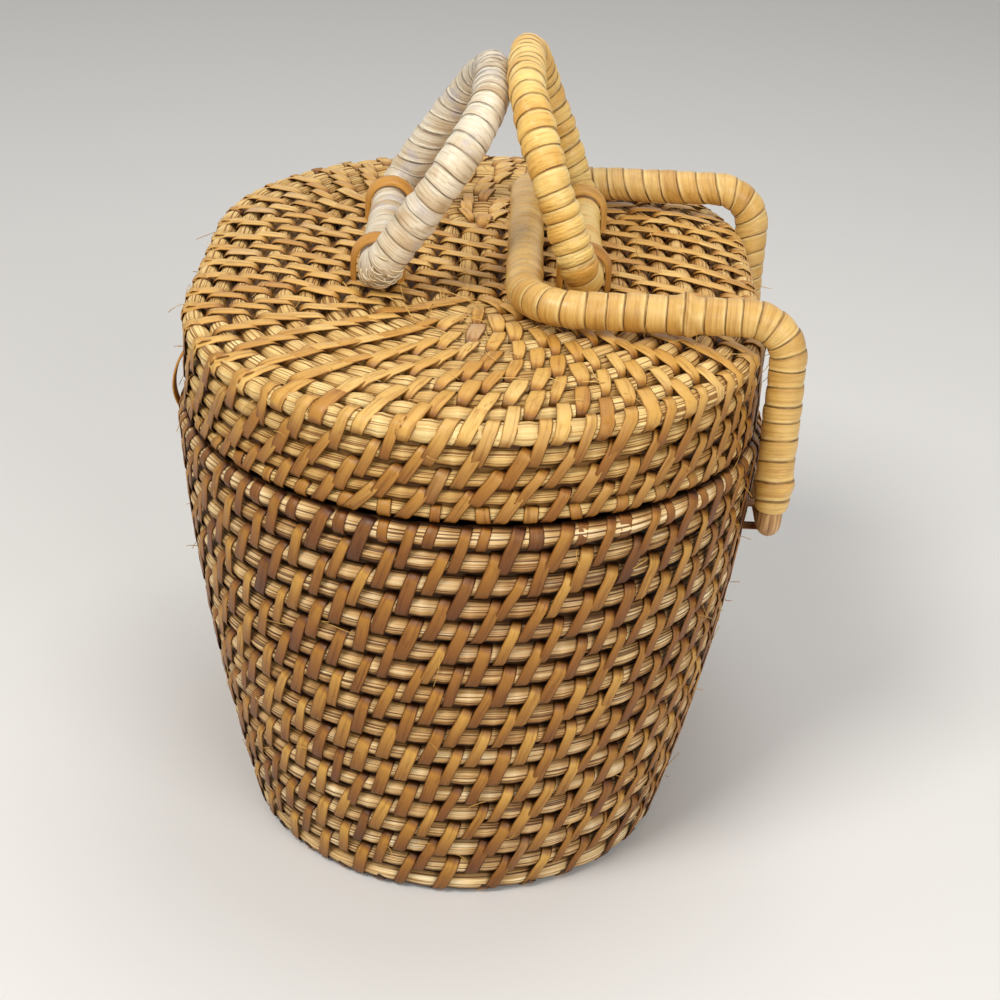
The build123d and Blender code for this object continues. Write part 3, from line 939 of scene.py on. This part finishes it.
def wrapFinish(name, look):
    # the whole part of the map's u numbers the turn of cane, the rest runs from one edge of it to the other
    f = Finish(name)
    count, around = (f.axis(f.layMap(), number) for number in range(2))
    strip = around - count.floor()          # runs on along the strip of cane, turn after turn
    noise = f.add("ShaderNodeTexNoise", {"noise_dimensions": "1D"}, {"W": strip, "Scale": 1.3})
    byTurn = look["byTurn"]
    base = f.ramp(f.mask(noise, 0.3, 0.7) * byTurn + f.patches(70.0, 4.0) * (1 - byTurn), look["stops"])
    fibres = f.strands(0.6, 9.0, 3.0, 0.7)
    creases = f.strands(3.0, 4.0, 4.0, 0.65)
    colour = f.blend(f.mask(fibres, 0.45, 0.66) * 0.55, base, look["fibre"], "MULTIPLY")
    colour = f.blend(f.mask(creases, 0.54, 0.64) * look["creased"], colour, (0.5, 0.36, 0.2), "MULTIPLY")
    clear = 1 - look["stained"]
    colour = f.blend(f.mask(f.patches(115.0), clear - 0.06, clear + 0.06) * 0.6, colour, look["stain"])
    # painted shade in a dark line where two turns meet, and a painted highlight on the ledge beside it
    across = (count + fibres * look["ragged"]).part()
    strong = f.mask(f.patches(160.0, 2.0), 0.36, 0.6) * 0.55 + 0.45
    groove = (f.mask(across, 0.055, 0.015) + f.mask(across, 0.965, 1.0)) * strong
    ledge = f.mask(across, 0.05, 0.09) * f.mask(across, 0.3, 0.14) * strong
    colour = f.blend(ledge * look["ledge"], colour, look["bright"])
    # painted shade toward the far edge of each turn
    colour = f.blend(f.mask(across, 0.72, 0.98) * 0.3, colour, look["fibre"], "MULTIPLY")
    colour = f.blend(groove * 0.8, colour, look["edge"])
    height = fibres * 0.5 - creases * look["relief"] + ledge * 0.8 - groove * 1.6
    return f.done(colour, look["gloss"] + fibres * 0.25, height, Coat_Weight=0.2, Coat_Roughness=0.25)


# ledge and bright give the painted highlight beside each groove, edge the painted shade in it
paleLook = {
    "stops": ((0.22, tint(192, 160, 118)), (0.38, tint(216, 198, 166)), (0.55, tint(232, 222, 200)),
              (0.7, tint(226, 214, 192)), (0.85, tint(188, 184, 192))),
    "byTurn": 0.45, "fibre": (0.62, 0.5, 0.36), "creased": 0.5,
    "stained": 0.38, "stain": tint(186, 180, 190), "ragged": 0.16,
    "ledge": 0.7, "bright": tint(248, 238, 212), "edge": tint(110, 78, 48), "relief": 1.0, "gloss": 0.4,
}
goldenLook = {
    "stops": ((0.2, tint(216, 164, 74)), (0.4, tint(236, 192, 102)), (0.65, tint(248, 216, 134)),
              (0.85, tint(234, 194, 110))),
    "byTurn": 0.5, "fibre": (0.74, 0.58, 0.36), "creased": 0.5,
    "stained": 0.3, "stain": tint(204, 156, 82), "ragged": 0.1,
    "ledge": 0.45, "bright": tint(250, 226, 160), "edge": tint(112, 64, 18), "relief": 1.5, "gloss": 0.36,
}
tanLook = {
    "stops": ((0.2, tint(188, 142, 66)), (0.4, tint(208, 164, 84)), (0.65, tint(222, 184, 108)),
              (0.85, tint(200, 158, 88))),
    "byTurn": 0.45, "fibre": (0.66, 0.5, 0.3), "creased": 0.35,
    "stained": 0.34, "stain": tint(184, 142, 84), "ragged": 0.06,
    "ledge": 0.6, "bright": tint(242, 212, 142), "edge": tint(92, 52, 16), "relief": 0.7, "gloss": 0.34,
}
leftLook = {
    "radius": 0.0057, "turn": 0.0052, "around": 30, "slant": 0.25, "slantFrom": 3.5, "round": 0.3,
    "groove": 0.0003, "swell": 0.0002, "wobble": 0.0001, "step": 0.0004, "taper": 0,
    "lumps": ((0.160, 0.0005, 0.0045),),        # place along the rod, height and length
}
rightLook = dict(leftLook, radius=0.0056, turn=0.0050, slant=0.2, slantFrom=2.0, round=0.4,
                 groove=0.0005, swell=0.0004, wobble=0.00014, step=0.0002, lumps=())
haspLook = dict(leftLook, radius=0.00548, turn=0.0055, slantFrom=1.0, round=0.22,
                groove=0.0002, swell=0.00015, step=0.0003, taper=0.16,
                lumps=((0.0090, 0.0007, 0.0026), (0.0857, 0.0009, 0.0026)))

for name, side, look, finish, slot in (
    ("left_handle", -1, leftLook, paleLook, "pale_wrap"),
    ("right_handle", 1, rightLook, goldenLook, "golden_wrap"),
):
    pile = newPile()
    wrapRod(pile, *ringLine(side), look, True)
    makePiece(pile, name + "Wrap", wrapFinish(name + "Cane", finish), name, name)


# Torn strands round the near foot corner of the left ring

frayPlan = {
    "count": 44, "points": 7, "radius": 0.0003, "tones": (0.3, 0.9),
    "corner": (0.75, 0.32, 0.12),                       # radians round the corner: middle, spread, drift
    "round": (-1.0, 1.2), "onward": (0.5, 1.3),         # radians round the rod at the start, and gained
    "clear": 0.0002, "bulge": (0.0001, 0.0009),
}
p = frayPlan
count = p["count"]
t = np.linspace(0, 1, p["points"])[None, :]
place, spread, drift = p["corner"]
angle = chance.normal(place, spread, (count, 1)) + chance.normal(0, drift, (count, 1)) * t
turned = chance.uniform(*p["round"], (count, 1)) + chance.uniform(*p["onward"], (count, 1)) * t
reach = leftLook["radius"] + p["clear"] + chance.uniform(*p["bulge"], (count, 1)) * np.sin(pi * t)
corner = rings["footCorner"]
armLength = corner + reach * np.cos(turned)
flatY = -rings["width"] / 2 + corner - armLength * np.sin(angle)
flatZ = corner - armLength * np.cos(angle)
middle, rise, across = ringFrame(-1)
line = (middle + flatY[..., None] * np.array((0, 1, 0)) + flatZ[..., None] * rise
        + (reach * np.sin(turned))[..., None] * across)
pile = newPile()
addStrands(pile, line, p["radius"], chance.uniform(*p["tones"], count))
frayMaterial = stripFinish("frayedCane", (
    (0.1, tint(214, 186, 140)), (0.5, tint(240, 224, 188)), (0.9, tint(250, 240, 216))), 0.5)
makePiece(pile, "left_handleFray", frayMaterial, "left_handle", None, weld=True)


# The hasp and its bare foot

haspPlan = {
    "legX": 0.0916039, "half": 0.0590, "barX": 0.0143, "armZ": 0.1787, "corner": 0.0160, "bend": 0.0130,
    "footZ": 0.1107, "wrapEnd": 0.0075, "footRod": 0.0032, "footCorner": 0.0050,
    "footIn": 0.002,        # the bare rod goes this far into the wrapped legs
    "footClear": 0.0004,    # and is this much thicker than its solid
}
legX, halfY, armZ, footZ = (haspPlan[key] for key in ("legX", "half", "armZ", "footZ"))
legZ = footZ + haspPlan["wrapEnd"]


def haspLine():
    # up the near leg, over the bend, along the arm, round two corners with the bar between, and back
    c, b = haspPlan["corner"], haspPlan["bend"]
    bendX, bendZ, barX = legX - b, armZ - b, haspPlan["barX"]
    line = np.concatenate([
        straight((legX, -halfY, legZ), (legX, -halfY, bendZ)),
        quarter((bendX, -halfY, bendZ), (b, 0, 0), (0, 0, b)),
        straight((bendX, -halfY, armZ), (barX + c, -halfY, armZ)),
        quarter((barX + c, -halfY + c, armZ), (0, -c, 0), (-c, 0, 0)),
        straight((barX, -halfY + c, armZ), (barX, halfY - c, armZ)),
        quarter((barX + c, halfY - c, armZ), (-c, 0, 0), (0, c, 0)),
        straight((barX + c, halfY, armZ), (bendX, halfY, armZ)),
        quarter((bendX, halfY, bendZ), (0, 0, b), (b, 0, 0)),
        straight((legX, halfY, bendZ), (legX, halfY, legZ)),
        np.array([(legX, halfY, legZ)]),
    ])
    # a direction across it: up on the arms, out of the bends, to the right on the legs
    upward = np.zeros_like(line)
    level = line[:, 2] > armZ - 1e-6
    bent = ~level & (line[:, 2] > bendZ)
    out = (line - np.array([bendX, 0, bendZ])) * np.array([1, 0, 1])
    upward[level] = (0, 0, 1)
    upward[bent] = unit(out[bent])
    upward[~level & ~bent] = (1, 0, 0)
    return line, upward


def footLine():
    # down from inside the near leg, round a corner, along the wall, round a corner and up
    c, top = haspPlan["footCorner"], legZ + haspPlan["footIn"]
    return np.concatenate([
        straight((legX, -halfY, top), (legX, -halfY, footZ + c)),
        quarter((legX, -halfY + c, footZ + c), (0, -c, 0), (0, 0, -c)),
        straight((legX, -halfY + c, footZ), (legX, halfY - c, footZ)),
        quarter((legX, halfY - c, footZ + c), (0, 0, -c), (0, c, 0)),
        straight((legX, halfY, footZ + c), (legX, halfY, top)),
        np.array([(legX, halfY, top)]),
    ])


def rodFinish():
    # bare cane: fibres along it, from brown to pale
    f = Finish("bareRod")
    fibre = f.strands(16.0, 12.0, 4.0, 0.7)
    colour = f.ramp(fibre, (
        (0.35, tint(132, 90, 50)), (0.52, tint(190, 146, 94)), (0.66, tint(214, 178, 128))))
    return f.done(colour, 0.6 - fibre * 0.1, fibre, 0.0004, 0.8)


pile = newPile()
wrapRod(pile, *haspLine(), haspLook, False)
makePiece(pile, "haspWrap", wrapFinish("haspCane", tanLook), "hasp", "hasp", weld=True)

footLook = {
    "radius": haspPlan["footRod"] + haspPlan["footClear"], "turn": 0.5, "around": 20, "wobble": 0.00005,
    "slant": 0, "slantFrom": 0, "round": 0.5, "groove": 0, "swell": 0, "step": 0, "lumps": (), "taper": 0,
}
pile = newPile()
wrapRod(pile, footLine(), (1.0, 0.0, 0.0), footLook, False)
makePiece(pile, "haspFootRod", rodFinish(), "hasp", "hasp_foot", weld=True)


# Cane ties

tieShape = {
    # the section of a tie, across it in half widths and outward in thicknesses
    "section": ((-1, 0.3), (-0.6, 0.9), (0, 1.0), (0.6, 0.9), (1, 0.3), (0.9, 0.0), (-0.9, 0.0)),
    "thick": 0.0008, "tones": (0.2, 0.8), "legPoints": 8,
}
alongY = np.array((0.0, 1.0, 0.0))


def makeTie(name, line, face, side, width, material, body):
    # a flat strip along a line: its width lies along side, its thickness along the outward direction face
    side = np.broadcast_to(side, line.shape)[:, None]
    section = np.array(tieShape["section"])
    width = np.broadcast_to(width, len(line))
    points = (line[:, None] + side * section[:, :1] * width[:, None, None] / 2
              + face[:, None] * section[:, 1:] * tieShape["thick"])
    run = distances(line)
    lay = layOf(np.concatenate([[0], run, [run[-1]]]), len(section))
    pile = newPile()
    addGrid(pile, capped(points, line)[None], False, True, lay, chance.uniform(*tieShape["tones"]))
    makePiece(pile, name + "Tie", material, body, name, weld=True)


def hoop(start, middle, r, onward, across, steps):
    # a straight leg, half a circle and a leg back: middle - r cos t across + r sin t onward, t from 0 to pi
    legs = np.linspace(start, 0, tieShape["legPoints"], endpoint=False)[:, None] * onward
    t = np.linspace(0, pi, steps)[:, None]
    arc = np.sin(t) * onward - np.cos(t) * across
    line = np.concatenate([middle + legs - r * across, middle + r * arc, middle + legs[::-1] + r * across])
    face = np.concatenate([0 * legs - across, arc, 0 * legs + across])
    return line, face


darkTie = stripFinish("darkStrip", (
    (0.1, tint(104, 62, 28)), (0.5, tint(146, 94, 44)), (0.9, tint(176, 122, 66))), 0.4)
paleTie = stripFinish("tieStrip", (
    (0.1, tint(176, 118, 46)), (0.5, tint(202, 146, 62)), (0.9, tint(216, 168, 88))), 0.34)
right, upright = np.array((1.0, 0.0, 0.0)), np.array((0.0, 0.0, 1.0))

# over the foot bars of the rings, each strip turned a little on its edge
for name, side, end in (
    ("left_handle_loop_near", -1, -1), ("left_handle_loop_far", -1, 1),
    ("right_handle_loop_near", 1, -1), ("right_handle_loop_far", 1, 1),
):
    middle = ringFrame(side)[0] + end * tiePlan["reach"] * alongY
    line, face = hoop(tiePlan["lidZ"] - rings["footZ"], middle, tiePlan["inner"], upright, right, 25)
    sideways = unit(alongY + face * tiePlan["flare"])
    line = line + face * tiePlan["flare"] * tiePlan["width"] / 2
    makeTie(name, line, face, sideways, tiePlan["width"], paleTie, "lid")

# round the hasp's foot, with both tails in the wall
haspTies = {"y": 0.049, "clear": 0.0005, "width": 0.005, "tuck": 0.001}
for name, y in (("hasp_loop_near", -haspTies["y"]), ("hasp_loop_far", haspTies["y"])):
    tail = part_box(name)[0][0] - haspTies["tuck"] - legX
    middle = np.array((legX, y, footZ))
    line, face = hoop(tail, middle, haspPlan["footRod"] + haspTies["clear"], right, upright, 17)
    makeTie(name, line, face, alongY, haspTies["width"], darkTie, "basket")

# across the seam on the left wall: x = -(head + bow (1 - t^2) - tuck t^2 below the middle)
hingePlan = {
    "bottom": 0.1277, "top": 0.1497, "head": 0.08766, "bow": 0.0033, "tuck": 0.0014,
    "y": 0.035, "width": 0.0022, "swell": 0.003, "points": 21,
}
p = hingePlan
for name, y in (("lid_hinge_loop_near", -p["y"]), ("lid_hinge_loop_far", p["y"])):
    t = np.linspace(-1, 1, p["points"])
    z = p["bottom"] + (p["top"] - p["bottom"]) * (t + 1) / 2
    x = -(p["head"] + p["bow"] * (1 - t ** 2) - p["tuck"] * np.clip(-t, 0, 1) ** 2)
    line = np.stack([x, np.full(len(t), y), z], -1)
    face = unit(np.stack([-np.ones(len(t)), 0 * t, np.gradient(x, z)], -1))
    makeTie(name, line, face, alongY, p["width"] + p["swell"] * (1 - t ** 2), paleTie, "basket")
print("ties made")
